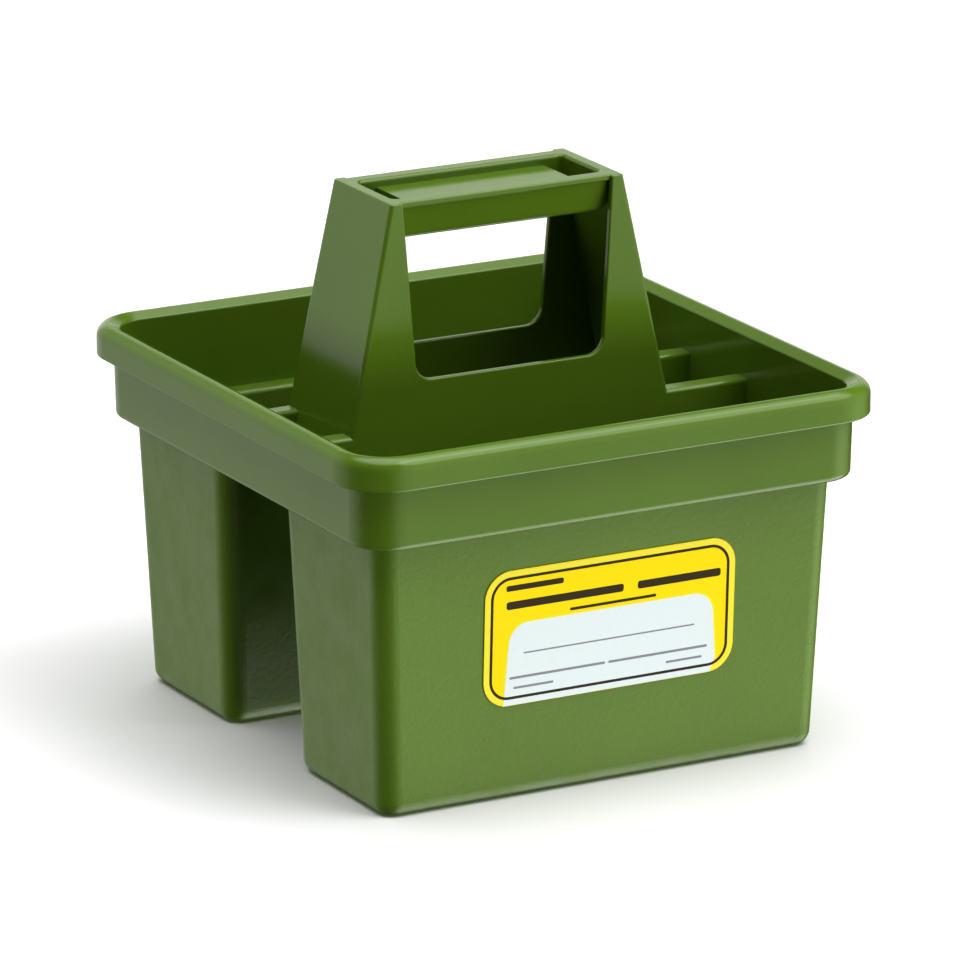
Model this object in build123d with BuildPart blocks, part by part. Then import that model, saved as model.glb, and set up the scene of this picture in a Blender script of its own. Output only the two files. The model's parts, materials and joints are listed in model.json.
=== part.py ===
from build123d import *
import os

# Two-bin storage caddy with a fixed hollow carry handle: one thin-wall moulding and one label.
# The moulding is written as named regions that meet face to face. Front is -Y, up is +Z, millimetres.
# The origin is on the floor, under the middle of the caddy.

os.makedirs("parts", exist_ok=True)

# ---- overall size ----
LENGTH = 125.0  # X, along the front face
WIDTH = 130.0  # Y, front to back
HEIGHT = 118.0  # Z, floor to the top of the handle
WALL = 1.5

# ---- levels ----
RIM_TOP = 80.2
RIM_INNER_TOP = 79.0
CHANNEL_TOP = 78.5
LIP_BOTTOM = 73.3
SKIRT_BOTTOM = 59.6
FLANGE_TOP = SKIRT_BOTTOM + WALL
KERB_TOP = 69.8

# ---- how far each part of the outer skin sits inside the overall outline ----
SKIRT_IN_TOP = 3.6
SKIRT_IN_LOW = 3.84
BIN_IN_TOP = 8.43
BIN_IN_LOW = 10.8

# ---- corner radii in plan, and edge roundings ----
LIP_R = 12.0
SKIRT_R = 8.6
BIN_R = 4.4
LIP_EDGE = 2.7
LIP_LOW_EDGE = 0.45
LIP_INNER_EDGE = 0.5
SKIRT_EDGE = 1.3
FOOT_EDGE = 3.2
FLANGE_EDGE = 1.1

# ---- slot under the handle: half of the gap between the bins ----
SLOT_TOP = 13.2
SLOT_LOW = 15.6

# ---- handle skin: half sizes at its foot, on top of the bin walls, and at its top ----
HANDLE_X_LOW = 40.16
HANDLE_X_TOP = 27.68
HANDLE_Y_LOW = SLOT_TOP + WALL
HANDLE_Y_TOP = 13.0
HANDLE_EDGE = 0.9
HANDLE_TOP_EDGE = 0.4

# ---- hand window in the handle's front and back ----
WINDOW_SILL = 79.9
WINDOW_X_LOW = 22.2
WINDOW_X_TOP = 25.0
WINDOW_R = 4.0
WINDOW_EDGE = 0.4

# ---- grip tray between the tops of the handle's ends ----
TRAY_LOW = 109.6
TRAY_FLOOR = 116.2
POCKET_FLOOR = 111.4
TRAY_Y_TOP = 11.3
TRAY_Y_LOW = 9.7
TRAY_LOW_EDGE = 1.6
TRAY_INNER_Y = 8.2
TRAY_INNER_X = 24.6
TRAY_INNER_R = 1.2
TRAY_MOUTH_EDGE = 0.8
TRAY_END_R = 5.5
RAIL_Y = 12.1
RAIL_H = 1.25
RAIL_EDGE = 0.35
PLATEAU_X = 20.0

# ---- recess beside the handle: half width between its raised kerbs ----
KERB_INNER_Y = 9.5
KERB_EDGE = 1.0

# ---- how straight along an axis an edge must run to be picked, and where on it that is read ----
ALONG = 0.95
HALFWAY = 0.5

# ---- label on the front bin ----
LABEL_W = 59.4
LABEL_H = 29.5
LABEL_X = 0.45
LABEL_Z = 35.45
LABEL_R = 6.0
LABEL_T = 0.25


def save(builder, name):
    """Name a finished piece and write it as its own file."""
    builder.part.label = name
    export_step(builder.part, f"parts/{name}.step")


def plan(inset, radius, level):
    """The overall plan pulled in by an inset, as a face at a height."""
    with BuildSketch(Plane.XY.offset(level)) as face:
        RectangleRounded(LENGTH - 2 * inset, WIDTH - 2 * inset, radius)
    return face.sketch


def bin_plan(inset, near_y, radius, level, side):
    """The plan of one bin at a height. side is -1 for the front bin and 1 for the rear bin."""
    far_y = WIDTH / 2 - inset
    with BuildSketch(Plane.XY.offset(level)) as face:
        with Locations((0, side * (near_y + far_y) / 2)):
            RectangleRounded(LENGTH - 2 * inset, far_y - near_y, radius)
    return face.sketch


def between(low, top, level, low_level, top_level):
    """A drafted size at a height."""
    return low + (top - low) * (level - low_level) / (top_level - low_level)


def skin_x(level):
    """Half length of the handle skin at a height."""
    return between(HANDLE_X_LOW, HANDLE_X_TOP, level, SKIRT_BOTTOM, HEIGHT)


def skin_y(level):
    """Half depth of the handle skin at a height."""
    return between(HANDLE_Y_LOW, HANDLE_Y_TOP, level, SKIRT_BOTTOM, HEIGHT)


def skirt_inner_x(level):
    """Half length inside the skirt at a height."""
    inset = between(SKIRT_IN_LOW, SKIRT_IN_TOP, level, SKIRT_BOTTOM, LIP_BOTTOM)
    return LENGTH / 2 - inset - WALL


# ---- rim lip: the turned-over top edge, an upside-down U in section, falling towards the inside ----
with BuildPart() as rim_lip:
    add(plan(0, LIP_R, LIP_BOTTOM))
    extrude(amount=RIM_TOP - LIP_BOTTOM)
    fillet(rim_lip.faces().sort_by(Axis.Z)[-1].edges(), LIP_EDGE)
    fillet(rim_lip.faces().sort_by(Axis.Z)[0].edges(), LIP_LOW_EDGE)
    add(plan(SKIRT_IN_TOP + WALL, SKIRT_R - WALL, RIM_INNER_TOP))
    add(plan(LIP_EDGE, LIP_R - LIP_EDGE, RIM_TOP))
    loft(ruled=True, mode=Mode.SUBTRACT)
    add(plan(SKIRT_IN_TOP + WALL, SKIRT_R - WALL, LIP_BOTTOM))
    extrude(amount=RIM_TOP - LIP_BOTTOM, mode=Mode.SUBTRACT)
    inner_loop = rim_lip.edges().filter_by(lambda e: abs(e.center().Z - RIM_INNER_TOP) < LIP_INNER_EDGE / 2)
    fillet(inner_loop, LIP_INNER_EDGE)
    with BuildSketch(Plane.XY.offset(LIP_BOTTOM)):
        add(plan(WALL, LIP_R - WALL, 0))
        add(plan(SKIRT_IN_TOP, SKIRT_R, 0), mode=Mode.SUBTRACT)
    extrude(amount=CHANNEL_TOP - LIP_BOTTOM, mode=Mode.SUBTRACT)
save(rim_lip, "rim_lip")

# ---- skirt band: the drafted wall under the lip ----
with BuildPart() as skirt_band:
    add(plan(SKIRT_IN_LOW, SKIRT_R, SKIRT_BOTTOM))
    add(plan(SKIRT_IN_TOP, SKIRT_R, LIP_BOTTOM))
    loft(ruled=True)
    fillet(skirt_band.faces().sort_by(Axis.Z)[0].edges(), SKIRT_EDGE)
    add(plan(SKIRT_IN_LOW + WALL, SKIRT_R - WALL, SKIRT_BOTTOM))
    add(plan(SKIRT_IN_TOP + WALL, SKIRT_R - WALL, LIP_BOTTOM))
    loft(ruled=True, mode=Mode.SUBTRACT)
save(skirt_band, "skirt_band")

# ---- bins: drafted cups with a flange on the three sides that meet the skirt ----
for name, side in (("front_bin", -1), ("rear_bin", 1)):
    share = WALL / SKIRT_BOTTOM
    floor_inset = BIN_IN_LOW + share * (BIN_IN_TOP - BIN_IN_LOW)
    floor_near = SLOT_LOW + share * (SLOT_TOP - SLOT_LOW)
    flange_inset = SKIRT_IN_LOW + WALL
    opening_inset = BIN_IN_TOP + WALL
    with BuildPart() as cup:
        add(bin_plan(BIN_IN_LOW, SLOT_LOW, BIN_R, 0, side))
        add(bin_plan(BIN_IN_TOP, SLOT_TOP, BIN_R, SKIRT_BOTTOM, side))
        loft(ruled=True)
        fillet(cup.faces().sort_by(Axis.Z)[0].edges(), FOOT_EDGE)
        add(bin_plan(floor_inset + WALL, floor_near + WALL, BIN_R - WALL, WALL, side))
        add(bin_plan(opening_inset, SLOT_TOP + WALL, BIN_R - WALL, SKIRT_BOTTOM, side))
        loft(ruled=True, mode=Mode.SUBTRACT)
        floor_faces = cup.faces().filter_by(GeomType.PLANE).filter_by(Axis.Z).group_by(Axis.Z)
        fillet(floor_faces[1].edges(), FOOT_EDGE - WALL)
        with BuildSketch(Plane.XY.offset(SKIRT_BOTTOM)):
            RectangleRounded(LENGTH - 2 * flange_inset, WIDTH - 2 * flange_inset, SKIRT_R - WALL)
            with Locations((0, side * (SLOT_TOP + WALL - WIDTH))):
                Rectangle(2 * LENGTH, 2 * WIDTH, mode=Mode.SUBTRACT)
            add(bin_plan(opening_inset, 0, BIN_R - WALL, 0, side), mode=Mode.SUBTRACT)
        extrude(amount=WALL)
        flange_x = LENGTH / 2 - BIN_IN_TOP - FLANGE_EDGE
        flange_y = WIDTH / 2 - BIN_IN_TOP - FLANGE_EDGE
        opening_edges = cup.edges().group_by(Axis.Z)[-1].filter_by(
            lambda e: abs(e.center().X) < flange_x and abs(e.center().Y) < flange_y
        )
        fillet(opening_edges, FLANGE_EDGE)
    save(cup, name)

def handle_x_slab(inset):
    """The handle's outline seen from the front, pulled in at its ends, as a face."""
    with BuildSketch(Plane.XZ) as face:
        Polygon(
            (-HANDLE_X_LOW + inset, SKIRT_BOTTOM),
            (HANDLE_X_LOW - inset, SKIRT_BOTTOM),
            (HANDLE_X_TOP - inset, HEIGHT),
            (-HANDLE_X_TOP + inset, HEIGHT),
            align=None,
        )
    return face.sketch


def handle_y_slab(inset):
    """The handle's outline seen from the end, pulled in at its front and back, as a face."""
    with BuildSketch(Plane.YZ) as face:
        Polygon(
            (-HANDLE_Y_LOW + inset, SKIRT_BOTTOM),
            (HANDLE_Y_LOW - inset, SKIRT_BOTTOM),
            (HANDLE_Y_TOP - inset, HEIGHT),
            (-HANDLE_Y_TOP + inset, HEIGHT),
            align=None,
        )
    return face.sketch


# ---- outer shape of the handle, as a solid block that its walls are cut from ----
with BuildPart() as block:
    extrude(handle_x_slab(0), amount=WIDTH / 2, both=True)
    extrude(handle_y_slab(0), amount=LENGTH, both=True, mode=Mode.INTERSECT)
    fillet(block.edges().filter_by(lambda e: abs(e.tangent_at(HALFWAY).Z) > ALONG), HANDLE_EDGE)
    fillet(block.faces().sort_by(Axis.Z)[-1].edges(), HANDLE_TOP_EDGE)

# ---- saddles: the web beside each end of the handle, with a kerb along each bin ----
for name, side in (("saddle_left", -1), ("saddle_right", 1)):
    with BuildPart() as saddle:
        with BuildSketch(Plane.XZ):
            Polygon(
                (side * (skin_x(SKIRT_BOTTOM) - HANDLE_EDGE), SKIRT_BOTTOM),
                (side * skirt_inner_x(SKIRT_BOTTOM), SKIRT_BOTTOM),
                (side * skirt_inner_x(KERB_TOP), KERB_TOP),
                (side * (skin_x(KERB_TOP) - HANDLE_EDGE), KERB_TOP),
                align=None,
            )
        extrude(amount=WIDTH, both=True)
        with BuildSketch(Plane.YZ):
            with BuildLine():
                Polyline(
                    (-skin_y(SKIRT_BOTTOM), SKIRT_BOTTOM),
                    (skin_y(SKIRT_BOTTOM), SKIRT_BOTTOM),
                    (skin_y(KERB_TOP), KERB_TOP),
                    (-skin_y(KERB_TOP), KERB_TOP),
                    close=True,
                )
            make_face()
            with Locations((0, KERB_TOP)):
                Rectangle(2 * KERB_INNER_Y, 2 * (KERB_TOP - FLANGE_TOP), mode=Mode.SUBTRACT)
            kerb_hollow = skin_y(KERB_TOP) - KERB_INNER_Y - 2 * WALL
            kerb_middle = (skin_y(KERB_TOP) + KERB_INNER_Y) / 2
            with Locations((-kerb_middle, SKIRT_BOTTOM), (kerb_middle, SKIRT_BOTTOM)):
                Rectangle(kerb_hollow, 2 * (KERB_TOP - WALL - SKIRT_BOTTOM), mode=Mode.SUBTRACT)
        extrude(amount=LENGTH, both=True, mode=Mode.INTERSECT)
        fillet(saddle.edges().filter_by(Axis.X).group_by(Axis.Z)[-1], KERB_EDGE)
        add(block.part, mode=Mode.SUBTRACT)
    save(saddle, name)

# ---- handle front and back: slanted panels with the hand window, open to the top ----
panels = []
for name, side in (("handle_front", -1), ("handle_back", 1)):
    with BuildPart() as panel:
        add(block.part)
        with BuildSketch(Plane.XY):
            with Locations((0, side * WIDTH / 2)):
                Rectangle(2 * LENGTH, WIDTH)
        extrude(amount=HEIGHT, mode=Mode.INTERSECT)
        extrude(handle_y_slab(WALL), amount=LENGTH, both=True, mode=Mode.SUBTRACT)
        with BuildSketch(Plane.XZ) as window:
            Polygon(
                (-WINDOW_X_LOW, WINDOW_SILL),
                (WINDOW_X_LOW, WINDOW_SILL),
                (WINDOW_X_TOP, HEIGHT + WALL),
                (-WINDOW_X_TOP, HEIGHT + WALL),
                align=None,
            )
            fillet(window.vertices().group_by(Axis.Y)[0], WINDOW_R)
        extrude(amount=WIDTH / 2, both=True, mode=Mode.SUBTRACT)
        window_edges = panel.edges().filter_by(
            lambda e: abs(e.center().X) < WINDOW_X_TOP and e.center().Z > WINDOW_SILL - WINDOW_EDGE
            and abs(e.tangent_at(HALFWAY).Y) < 1 - ALONG
        )
        fillet(window_edges, WINDOW_EDGE)
    save(panel, name)
    panels.append(panel.part)

# ---- handle ends: slanted walls between the front and back panels ----
for name, side in (("handle_left_end", -1), ("handle_right_end", 1)):
    with BuildPart() as end_wall:
        add(block.part)
        with BuildSketch(Plane.XY):
            with Locations((side * LENGTH / 2, 0)):
                Rectangle(LENGTH, 2 * WIDTH)
        extrude(amount=HEIGHT, mode=Mode.INTERSECT)
        extrude(handle_y_slab(WALL), amount=LENGTH, both=True, mode=Mode.INTERSECT)
        extrude(handle_x_slab(WALL), amount=WIDTH / 2, both=True, mode=Mode.SUBTRACT)
    save(end_wall, name)

# ---- grip tray: a shallow tray with rounded underside, and a deeper pocket at each end ----
with BuildPart() as grip_tray:
    with BuildSketch(Plane.XZ) as side_view:
        Polygon(
            (-(skin_x(TRAY_LOW) - WALL), TRAY_LOW),
            (skin_x(TRAY_LOW) - WALL, TRAY_LOW),
            (skin_x(HEIGHT) - WALL, HEIGHT),
            (-(skin_x(HEIGHT) - WALL), HEIGHT),
            align=None,
        )
        fillet(side_view.vertices().group_by(Axis.Y)[0], TRAY_END_R)
    extrude(amount=WIDTH / 2, both=True)
    with BuildSketch(Plane.YZ) as section:
        Polygon(
            (-TRAY_Y_LOW, TRAY_LOW),
            (TRAY_Y_LOW, TRAY_LOW),
            (TRAY_Y_TOP, HEIGHT - RAIL_H),
            (-TRAY_Y_TOP, HEIGHT - RAIL_H),
            align=None,
        )
        fillet(section.vertices().group_by(Axis.Y)[0], TRAY_LOW_EDGE)
        with Locations((0, HEIGHT - RAIL_H / 2)):
            RectangleRounded(2 * RAIL_Y, RAIL_H, RAIL_EDGE)
    extrude(amount=LENGTH, both=True, mode=Mode.INTERSECT)
    with BuildSketch(Plane.XY.offset(TRAY_FLOOR)):
        RectangleRounded(2 * TRAY_INNER_X, 2 * TRAY_INNER_Y, TRAY_INNER_R)
    extrude(amount=HEIGHT, mode=Mode.SUBTRACT)
    tray_mouth = grip_tray.faces().filter_by(Axis.Z).sort_by(Axis.Z)[-1]
    fillet(tray_mouth.inner_wires()[0].edges(), TRAY_MOUTH_EDGE)
    with BuildSketch(Plane.XY.offset(POCKET_FLOOR)):
        RectangleRounded(2 * TRAY_INNER_X, 2 * TRAY_INNER_Y, TRAY_INNER_R)
        Rectangle(2 * PLATEAU_X, 2 * WIDTH, mode=Mode.SUBTRACT)
    extrude(amount=TRAY_FLOOR - POCKET_FLOOR, mode=Mode.SUBTRACT)
    with BuildSketch(Plane.XY):
        Rectangle(2 * (PLATEAU_X - WALL), 2 * TRAY_INNER_Y)
    extrude(amount=TRAY_FLOOR - WALL, mode=Mode.SUBTRACT)
    for wall_part in panels:
        add(wall_part, mode=Mode.SUBTRACT)
save(grip_tray, "grip_tray")

# ---- label: a thin sheet on the drafted front wall of the front bin ----
lean = (BIN_IN_LOW - BIN_IN_TOP) / SKIRT_BOTTOM
label_y = -(WIDTH / 2 - BIN_IN_LOW + lean * LABEL_Z)
label_plane = Plane(origin=(LABEL_X, label_y, LABEL_Z), x_dir=(1, 0, 0), z_dir=(0, -1, -lean))
with BuildPart() as front_label:
    with BuildSketch(label_plane):
        RectangleRounded(LABEL_W, LABEL_H, LABEL_R)
    extrude(amount=LABEL_T)
save(front_label, "front_label")
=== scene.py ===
"""Looks for the two-bin storage caddy: satin green moulding, grained bins and a printed label."""
import json
import math

import bmesh
import bpy
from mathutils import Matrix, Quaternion, Vector

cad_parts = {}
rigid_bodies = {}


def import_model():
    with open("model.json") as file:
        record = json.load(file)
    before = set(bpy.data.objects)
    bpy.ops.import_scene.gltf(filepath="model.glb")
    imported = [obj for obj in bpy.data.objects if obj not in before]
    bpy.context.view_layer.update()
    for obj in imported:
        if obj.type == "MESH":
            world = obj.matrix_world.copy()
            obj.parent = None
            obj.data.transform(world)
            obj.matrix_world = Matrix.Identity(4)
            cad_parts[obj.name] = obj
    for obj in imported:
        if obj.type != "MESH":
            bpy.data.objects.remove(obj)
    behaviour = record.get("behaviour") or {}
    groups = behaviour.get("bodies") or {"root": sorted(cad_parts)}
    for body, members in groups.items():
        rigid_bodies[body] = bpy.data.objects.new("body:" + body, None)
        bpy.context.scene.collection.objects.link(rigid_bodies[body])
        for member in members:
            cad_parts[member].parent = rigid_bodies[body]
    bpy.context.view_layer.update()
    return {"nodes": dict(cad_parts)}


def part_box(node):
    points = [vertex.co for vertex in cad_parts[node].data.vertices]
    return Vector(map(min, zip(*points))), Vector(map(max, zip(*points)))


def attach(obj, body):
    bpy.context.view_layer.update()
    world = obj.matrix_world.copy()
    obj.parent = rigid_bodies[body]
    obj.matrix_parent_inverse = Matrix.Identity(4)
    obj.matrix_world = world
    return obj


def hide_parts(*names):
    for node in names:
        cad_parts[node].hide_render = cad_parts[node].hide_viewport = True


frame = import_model()

MM = 0.001

# ---- camera, in degrees, metres and, for lens and sensor, millimetres ----
CAMERA_AZIMUTH = -28.795
CAMERA_ELEVATION = 16.593
CAMERA_ROLL = 0.062
CAMERA_DISTANCE = 1.6155
CAMERA_AIM = Vector((0.0016, 0.0, 0.0502))
CAMERA_LENS = 282.4
CAMERA_SENSOR = 36
CAMERA_NEAR = 0.05
CAMERA_FAR = 50

# Below 1, so the middle tones are shown darker than in the plain Standard view.
VIEW_GAMMA = 0.88

# ---- colours, linear ----
GREEN = (0.100, 0.180, 0.0115)
YELLOW = (0.87, 0.66, 0.002)
YELLOW_PALE = (0.80, 0.70, 0.045)
PAPER_WHITE = (0.66, 0.73, 0.725)
INK_BROWN = (0.030, 0.020, 0.004)
INK_GREY = (0.22, 0.23, 0.24)
FLOOR_GREY = (0.86, 0.86, 0.86)
# Painted shade: the dark of the hidden card below the floor, for the paper in the caddy's own shadow.
PAINTED_SHADE_DARK = (0.02, 0.02, 0.02)
PAINTED_SHADE_LESS_DARK = (0.03, 0.03, 0.03)

# ---- the range that noise mostly fills ----
NOISE_LOW = 0.3
NOISE_HIGH = 0.7

# ---- moulded green ----
CLOUD_SCALE = 28
HAZE_SCALE = 160
WAVE_SCALE = 55
WAVE_DEPTH = 0.06 * MM
CLOUD_SHADES = (0.955, 1.045)
MOULDING_IOR = 1.49
GLOW_WEIGHT = 0.08
GLOW_RADII = (1.2 * MM, 1.8 * MM, 0.4 * MM)

SATIN_ROUGHNESS = (0.11, 0.17)
SATIN_GRAIN = 0.6 * MM
SATIN_DEPTH = 0.0015 * MM
GRAINED_ROUGHNESS = (0.30, 0.44)
MOULD_GRAIN = 1.0 * MM
MOULD_DEPTH = 0.07 * MM

# ---- print ----
MOTTLE_SCALE = 2200
PRINT_HAZE_SCALE = 220
PRINT_WAVE_SCALE = 350
PRINT_WAVE_DEPTH = 0.01 * MM
PRINT_ROUGH_BELOW = 0.04
PRINT_ROUGH_ABOVE = 0.06
INK_ROUGHNESS = 0.40
PAPER_ROUGHNESS = 0.42
MOTTLE_SHADES = (0.985, 1.015)

GRAINED_NODES = ("front_bin", "rear_bin")
SMOOTH_NODES = (
    "rim_lip",
    "skirt_band",
    "saddle_left",
    "saddle_right",
    "handle_front",
    "handle_back",
    "handle_left_end",
    "handle_right_end",
    "grip_tray",
)


class Nodes:
    """A short way to write one material's node tree."""

    def __init__(self, name):
        self.material = bpy.data.materials.new(name)
        self.material.use_nodes = True
        self.tree = self.material.node_tree
        self.shader = self.tree.nodes["Principled BSDF"]
        self.place = self.tree.nodes.new("ShaderNodeTexCoord").outputs["Object"]

    def link(self, source, target):
        self.tree.links.new(source, target)

    def feed(self, source, name):
        """Connect a source to one of the shader's sockets."""
        self.link(source, self.shader.inputs[name])

    def fix(self, name, value):
        """Set one of the shader's sockets to a value."""
        self.shader.inputs[name].default_value = value

    def noise(self, scale, detail=2.0, roughness=0.5):
        """Noise with a pattern size of about 1/scale metres."""
        node = self.tree.nodes.new("ShaderNodeTexNoise")
        node.inputs["Scale"].default_value = scale
        node.inputs["Detail"].default_value = detail
        node.inputs["Roughness"].default_value = roughness
        self.link(self.place, node.inputs["Vector"])
        return node.outputs["Fac"]

    def spread(self, source, low, high):
        """A number that runs from low to high as a noise source does over its usual range."""
        node = self.tree.nodes.new("ShaderNodeMapRange")
        node.inputs["From Min"].default_value = NOISE_LOW
        node.inputs["From Max"].default_value = NOISE_HIGH
        node.inputs["To Min"].default_value = low
        node.inputs["To Max"].default_value = high
        self.link(source, node.inputs["Value"])
        return node.outputs["Result"]

    def blend(self, amount, first, second):
        """A colour between two colours."""
        node = self.tree.nodes.new("ShaderNodeMix")
        node.data_type = "RGBA"
        node.inputs["A"].default_value = (*first, 1)
        node.inputs["B"].default_value = (*second, 1)
        self.link(amount, node.inputs["Factor"])
        return node.outputs["Result"]

    def bump(self, height, distance, under=None):
        """A surface that height raises by up to distance metres, on top of another bump if there is one."""
        node = self.tree.nodes.new("ShaderNodeBump")
        node.inputs["Distance"].default_value = distance
        node.inputs["Strength"].default_value = 1
        self.link(height, node.inputs["Height"])
        if under is not None:
            self.link(under, node.inputs["Normal"])
        return node.outputs["Normal"]


def shade(colour, factor):
    """A colour made darker or lighter by a factor."""
    return tuple(min(1.0, c * factor) for c in colour)


def moulded_green(name, roughness, grain_size, grain_depth):
    """Dyed polypropylene: even colour, a soft gloss, and the grain of the mould's surface."""
    m = Nodes(name)
    cloud = m.spread(m.noise(CLOUD_SCALE, detail=3), 0, 1)
    m.feed(m.blend(cloud, *(shade(GREEN, s) for s in CLOUD_SHADES)), "Base Color")
    haze = m.noise(HAZE_SCALE, detail=4)
    m.feed(m.spread(haze, *roughness), "Roughness")
    grain = m.noise(1 / grain_size, detail=3, roughness=0.6)
    waves = m.bump(m.noise(WAVE_SCALE, detail=1), WAVE_DEPTH)
    m.feed(m.bump(grain, grain_depth, under=waves), "Normal")
    m.fix("IOR", MOULDING_IOR)
    m.fix("Subsurface Weight", GLOW_WEIGHT)
    m.fix("Subsurface Radius", GLOW_RADII)
    m.fix("Subsurface Scale", 1.0)
    return m.material


def printed(name, colour, roughness, gloss=0.5):
    """Ink or film on the label, with the faint mottle of print and a film's soft gloss."""
    m = Nodes(name)
    mottle = m.spread(m.noise(MOTTLE_SCALE), 0, 1)
    m.feed(m.blend(mottle, *(shade(colour, s) for s in MOTTLE_SHADES)), "Base Color")
    haze = m.noise(PRINT_HAZE_SCALE)
    m.feed(m.spread(haze, roughness - PRINT_ROUGH_BELOW, roughness + PRINT_ROUGH_ABOVE), "Roughness")
    m.feed(m.bump(m.noise(PRINT_WAVE_SCALE), PRINT_WAVE_DEPTH), "Normal")
    m.fix("Specular IOR Level", gloss)
    return m.material


def dress(nodes, material):
    """Give CAD nodes a material."""
    for name in nodes:
        mesh = frame["nodes"][name].data
        mesh.materials.clear()
        mesh.materials.append(material)


# ---- label: its plane, taken from the front faces of the CAD sheet ----
FACING_FRONT = -0.99
label_node = frame["nodes"]["front_label"]
front_faces = [p for p in label_node.data.polygons if p.normal.y < FACING_FRONT]
front_points = [label_node.data.vertices[i].co for p in front_faces for i in p.vertices]
label_low, label_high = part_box("front_label")
label_mid = (label_low + label_high) / 2

LABEL_NORMAL = sum((p.normal * p.area for p in front_faces), Vector()).normalized()
LABEL_RIGHT = Vector((1, 0, 0))
LABEL_UP = LABEL_NORMAL.cross(LABEL_RIGHT).normalized()
LABEL_FACE = max(p.dot(LABEL_NORMAL) for p in front_points)
LABEL_CENTRE = label_mid + LABEL_NORMAL * (LABEL_FACE - label_mid.dot(LABEL_NORMAL))
LABEL_W = label_high.x - label_low.x
LABEL_H = max(p.dot(LABEL_UP) for p in front_points) - min(p.dot(LABEL_UP) for p in front_points)
LABEL_R = 6.0 * MM
CORNER_STEPS = 14

FILM_THICKNESS = 0.2 * MM
FILM_EDGE = 0.06 * MM
FILM_EDGE_STEPS = 2
INK_DEPTH = 0.05 * MM
INK_STEP = 0.01 * MM
BORDER_INSET = 0.1 * MM
KEYLINE_OUT = 1.4 * MM
KEYLINE_IN = 2.0 * MM
HALO = 0.35 * MM
BAR_ROUNDING = 0.32

PANEL_FOOT_LEFT = -24.9 * MM
PANEL_FOOT_RIGHT = 25.4 * MM
PANEL_LEFT = -23.9 * MM
PANEL_RIGHT = 24.6 * MM
PANEL_TOP = 3.1 * MM
PANEL_R = 4.6 * MM
PANEL_NOTCH_W = 1.2 * MM
PANEL_NOTCH_H = 3.0 * MM
PANEL_LEAN = 6

# Bars that stand for print: left, low, width and height in millimetres from the middle of the label.
TITLE_BARS = (
    (-24.7, 10.3, 13.4, 1.2),
    (-24.6, 6.3, 27.6, 1.7),
    (6.4, 6.3, 19.8, 1.7),
    (-9.6, 4.0, 20.4, 0.6),
)
NOTE_BARS = (
    (-20.4, -3.75, 40.6, 0.34),
    (-23.6, -9.0, 22.6, 0.55),
    (-0.2, -9.0, 23.6, 0.55),
    (-22.6, -11.2, 9.4, 0.5),
    (13.6, -11.2, 8.6, 0.5),
)


def arc(centre, radius, start, stop):
    """Points along a quarter or other part of a circle, angles in degrees."""
    angles = [math.radians(start + (stop - start) * i / CORNER_STEPS) for i in range(CORNER_STEPS + 1)]
    return [(centre[0] + radius * math.cos(a), centre[1] + radius * math.sin(a)) for a in angles]


def rounded(left, low, right, top, radius):
    """A rounded rectangle's outline, anticlockwise."""
    r = radius
    return (
        arc((right - r, low + r), r, -90, 0)
        + arc((right - r, top - r), r, 0, 90)
        + arc((left + r, top - r), r, 90, 180)
        + arc((left + r, low + r), r, 180, 270)
    )


def label_outline(inset):
    """The label's own outline, pulled in."""
    right, top = LABEL_W / 2 - inset, LABEL_H / 2 - inset
    return rounded(-right, -top, right, top, LABEL_R - inset)


def panel_outline(grow):
    """The write-on panel: a tapering shape with two rounded corners that runs out at the lower edge."""
    foot = BORDER_INSET - LABEL_H / 2
    foot_left, foot_right = PANEL_FOOT_LEFT - grow, PANEL_FOOT_RIGHT + grow
    left, right = PANEL_LEFT - grow, PANEL_RIGHT + grow
    top, r = PANEL_TOP + grow, PANEL_R + grow
    return (
        [(foot_left, foot), (foot_right - PANEL_NOTCH_W, foot), (foot_right, foot + PANEL_NOTCH_H)]
        + arc((right - r, top - r), r, PANEL_LEAN, 90)
        + arc((left + r, top - r), r, 90, 180 - PANEL_LEAN)
    )


def bar(left, low, width, height):
    """A bar with rounded ends, sizes in millimetres from the middle of the label."""
    left, low, width, height = left * MM, low * MM, width * MM, height * MM
    return rounded(left, low, left + width, low + height, height * BAR_ROUNDING)


def on_label(point, lift):
    """A point of the label's own plane in the row frame, lifted off the label's face."""
    return LABEL_CENTRE + LABEL_RIGHT * point[0] + LABEL_UP * point[1] + LABEL_NORMAL * lift


def close_down(bm, depth):
    """Turn flat faces into closed plates that reach back from them, against the label's normal."""
    made = bmesh.ops.extrude_face_region(bm, geom=list(bm.faces), use_keep_orig=True)
    lower = [v for v in made["geom"] if isinstance(v, bmesh.types.BMVert)]
    bmesh.ops.translate(bm, verts=lower, vec=-LABEL_NORMAL * depth)
    bmesh.ops.recalc_face_normals(bm, faces=bm.faces)


def label_object(name, bm, material):
    """A mesh object in the scene, from a finished bmesh."""
    mesh = bpy.data.meshes.new(name)
    bm.to_mesh(mesh)
    bm.free()
    mesh.materials.append(material)
    piece = bpy.data.objects.new(name, mesh)
    bpy.context.scene.collection.objects.link(piece)
    return piece


def ink(name, outlines, lift, material, hole=None):
    """A printed area: plates a hair above the label's face, or a ring where a hole is given."""
    bm = bmesh.new()
    for outline in outlines:
        ring = [bm.verts.new(on_label(p, lift)) for p in outline]
        if hole is None:
            bm.faces.new(ring)
        else:
            inner = [bm.verts.new(on_label(p, lift)) for p in hole]
            for i in range(len(ring)):
                j = (i + 1) % len(ring)
                bm.faces.new((ring[i], ring[j], inner[j], inner[i]))
    close_down(bm, lift + INK_DEPTH)
    piece = label_object(name, bm, material)
    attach(piece, "root")


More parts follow.
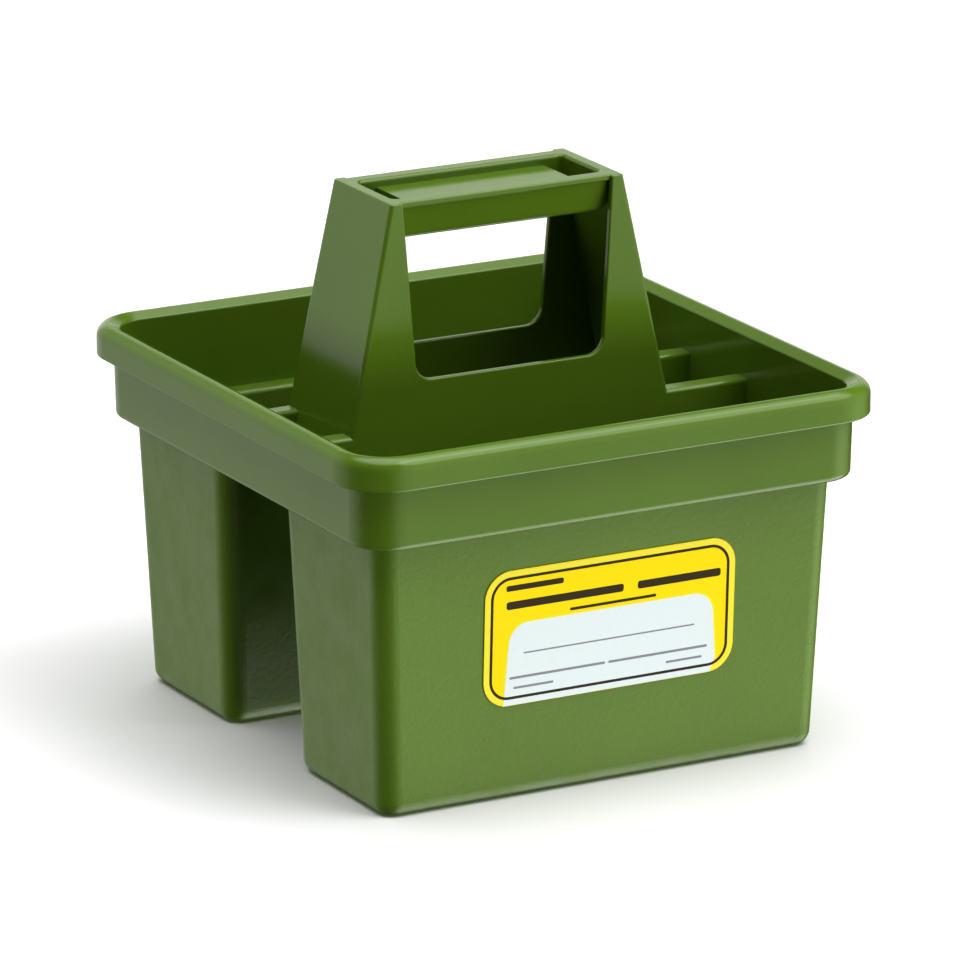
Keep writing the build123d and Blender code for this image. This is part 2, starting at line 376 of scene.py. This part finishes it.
def label_sheet(material):
    """The label's film: a thin sheet with a softened edge, standing for the CAD sheet."""
    bm = bmesh.new()
    bm.faces.new([bm.verts.new(on_label(p, 0)) for p in label_outline(0)])
    close_down(bm, FILM_THICKNESS)
    piece = label_object("label_film", bm, material)
    edge = piece.modifiers.new("soft_edge", "BEVEL")
    edge.width = FILM_EDGE
    edge.segments = FILM_EDGE_STEPS
    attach(piece, "root")
    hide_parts("front_label")


def make_label():
    """The film, its border and keyline, the write-on panel, and plain bars where print was."""
    yellow = printed("label_yellow", YELLOW, INK_ROUGHNESS, gloss=0.12)
    pale = printed("label_yellow_pale", YELLOW_PALE, INK_ROUGHNESS, gloss=0.2)
    white = printed("label_white", PAPER_WHITE, PAPER_ROUGHNESS)
    brown = printed("label_ink", INK_BROWN, INK_ROUGHNESS, gloss=0.2)
    grey = printed("label_grey", INK_GREY, PAPER_ROUGHNESS)
    label_sheet(yellow)
    keyline = label_outline(KEYLINE_OUT)
    ink("label_border", [label_outline(BORDER_INSET)], INK_STEP, pale, hole=keyline)
    ink("label_panel_halo", [panel_outline(HALO)], 2 * INK_STEP, pale)
    ink("label_panel", [panel_outline(0)], 3 * INK_STEP, white)
    ink("label_keyline", [keyline], 4 * INK_STEP, brown, hole=label_outline(KEYLINE_IN))
    ink("label_title_bars", [bar(*b) for b in TITLE_BARS], 4 * INK_STEP, brown)
    ink("label_note_bars", [bar(*b) for b in NOTE_BARS], 4 * INK_STEP, grey)


# ---- stage: sizes in metres, directions in degrees, powers in watts ----
FLOOR_SIZE = 8
PAPER_CLOUD_SCALE = 40
PAPER_SHADE = 0.99
FLOOR_ROUGHNESS = 0.9
FLOOR_GLOSS = 0.1
CARD_DROP = 0.5 * MM
BOUNCE_DISTANCE = 1.6
BOUNCE_HEIGHT = 0.35
AMBIENT = 0.07

# Soft bright panels of the room, three of them centred below the floor's level:
# azimuth, elevation, cosines where each starts and is full, strength.
ROOM_PANELS = (
    (0, 90, 0.74, 0.94, 3.4),
    (44, 50, 0.90, 0.97, 3.0),
    (45, -12, 0.40, 0.92, 0.95),
    (60, -52, 0.78, 0.97, 3.2),
    (-150, -4, 0.50, 0.95, 0.80),
    (150, 10, 0.80, 0.96, 0.85),
)


def make_floor():
    """Pale paper that takes the caddy's shadow and stays out of its reflections and bounced light."""
    bpy.ops.mesh.primitive_plane_add(size=FLOOR_SIZE)
    floor = bpy.context.object
    floor.name = "studio_floor"
    m = Nodes("studio_paper")
    cloud = m.noise(PAPER_CLOUD_SCALE, detail=3)
    m.feed(m.blend(cloud, shade(FLOOR_GREY, PAPER_SHADE), FLOOR_GREY), "Base Color")
    m.fix("Roughness", FLOOR_ROUGHNESS)
    m.fix("Specular IOR Level", FLOOR_GLOSS)
    floor.data.materials.append(m.material)
    floor.visible_glossy = False
    floor.visible_diffuse = False


def make_shade_card():
    """A card of painted shade: stands for the paper in the caddy's own shadow, so that no light comes up
    into the slot.
    """
    low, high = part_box("front_bin")[0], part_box("rear_bin")[1]
    bpy.ops.mesh.primitive_plane_add(size=1)
    card = bpy.context.object
    card.name = "shade_card"
    card.scale = (high.x - low.x, high.y - low.y, 1)
    card.location = (0, 0, -CARD_DROP)
    m = Nodes("painted_shade_paper")
    # The card's dark colours are painted shade, with a little random tone.
    m.feed(m.blend(m.noise(PAPER_CLOUD_SCALE), PAINTED_SHADE_DARK, PAINTED_SHADE_LESS_DARK), "Base Color")
    m.fix("Roughness", 1)
    card.data.materials.append(m.material)
    card.visible_camera = False
    card.visible_glossy = False


def aim(azimuth, elevation):
    """A unit direction in degrees. Azimuth 0 is in front of the caddy and 90 is at its right."""
    a, e = math.radians(azimuth), math.radians(elevation)
    return Vector((math.sin(a) * math.cos(e), -math.cos(a) * math.cos(e), math.sin(e)))


def bounce_light(name, azimuth, elevation, width, power, subjects):
    """A softbox below the floor's level that stands for light thrown back by the paper.

    Only its subjects receive it or block it, so it passes through the floor.
    """
    away = aim(azimuth, elevation)
    data = bpy.data.lights.new(name, "AREA")
    data.shape = "RECTANGLE"
    data.size = width
    data.size_y = BOUNCE_HEIGHT
    data.energy = power
    light = bpy.data.objects.new(name, data)
    light.location = CAMERA_AIM + away * BOUNCE_DISTANCE
    light.rotation_mode = "QUATERNION"
    light.rotation_quaternion = (-away).to_track_quat("-Z", "Y")
    light.visible_glossy = False
    light.visible_camera = False
    light.light_linking.receiver_collection = subjects
    light.light_linking.blocker_collection = subjects
    bpy.context.scene.collection.objects.link(light)


def make_bounce_lights():
    """Two softboxes for the caddy and its label, from the front right and from the left."""
    subjects = bpy.data.collections.new("caddy_only")
    for piece in bpy.context.scene.objects:
        if piece.type == "MESH" and piece.name not in ("studio_floor", "shade_card"):
            subjects.objects.link(piece)
    bounce_light("bounce_front", azimuth=30, elevation=-4, width=1.3, power=13, subjects=subjects)
    bounce_light("bounce_left", azimuth=-105, elevation=-14, width=1.1, power=10, subjects=subjects)


def make_world():
    """A dim room that is bright in the direction of each panel."""
    world = bpy.data.worlds.new("studio")
    world.use_nodes = True
    tree = world.node_tree
    background = tree.nodes["Background"]
    background.inputs["Color"].default_value = (1, 1, 1, 1)
    coord = tree.nodes.new("ShaderNodeTexCoord")
    ambient = tree.nodes.new("ShaderNodeValue")
    ambient.outputs["Value"].default_value = AMBIENT
    total = ambient.outputs["Value"]
    for azimuth, elevation, start, full, strength in ROOM_PANELS:
        dot = tree.nodes.new("ShaderNodeVectorMath")
        dot.operation = "DOT_PRODUCT"
        dot.inputs[1].default_value = aim(azimuth, elevation)
        ramp = tree.nodes.new("ShaderNodeMapRange")
        ramp.interpolation_type = "SMOOTHSTEP"
        ramp.inputs["From Min"].default_value = start
        ramp.inputs["From Max"].default_value = full
        ramp.inputs["To Min"].default_value = 0
        ramp.inputs["To Max"].default_value = strength
        add = tree.nodes.new("ShaderNodeMath")
        tree.links.new(coord.outputs["Generated"], dot.inputs[0])
        tree.links.new(dot.outputs["Value"], ramp.inputs["Value"])
        tree.links.new(total, add.inputs[0])
        tree.links.new(ramp.outputs["Result"], add.inputs[1])
        total = add.outputs["Value"]
    tree.links.new(total, background.inputs["Strength"])
    bpy.context.scene.world = world


def make_camera():
    """The camera, aimed at the middle of the caddy from a long way off."""
    back = aim(CAMERA_AZIMUTH, CAMERA_ELEVATION)
    data = bpy.data.cameras.new("camera")
    data.lens = CAMERA_LENS
    data.sensor_width = CAMERA_SENSOR
    data.clip_start, data.clip_end = CAMERA_NEAR, CAMERA_FAR
    camera = bpy.data.objects.new("camera", data)
    camera.location = CAMERA_AIM + back * CAMERA_DISTANCE
    camera.rotation_mode = "QUATERNION"
    roll = Quaternion((0, 0, 1), math.radians(CAMERA_ROLL))
    camera.rotation_quaternion = (-back).to_track_quat("-Z", "Y") @ roll
    bpy.context.scene.collection.objects.link(camera)
    bpy.context.scene.camera = camera


dress(SMOOTH_NODES, moulded_green("green_satin", SATIN_ROUGHNESS, SATIN_GRAIN, SATIN_DEPTH))
dress(GRAINED_NODES, moulded_green("green_grain", GRAINED_ROUGHNESS, MOULD_GRAIN, MOULD_DEPTH))
make_label()
make_floor()
make_shade_card()
make_world()
make_bounce_lights()
make_camera()
bpy.context.scene.view_settings.view_transform = "Standard"
bpy.context.scene.view_settings.gamma = VIEW_GAMMA
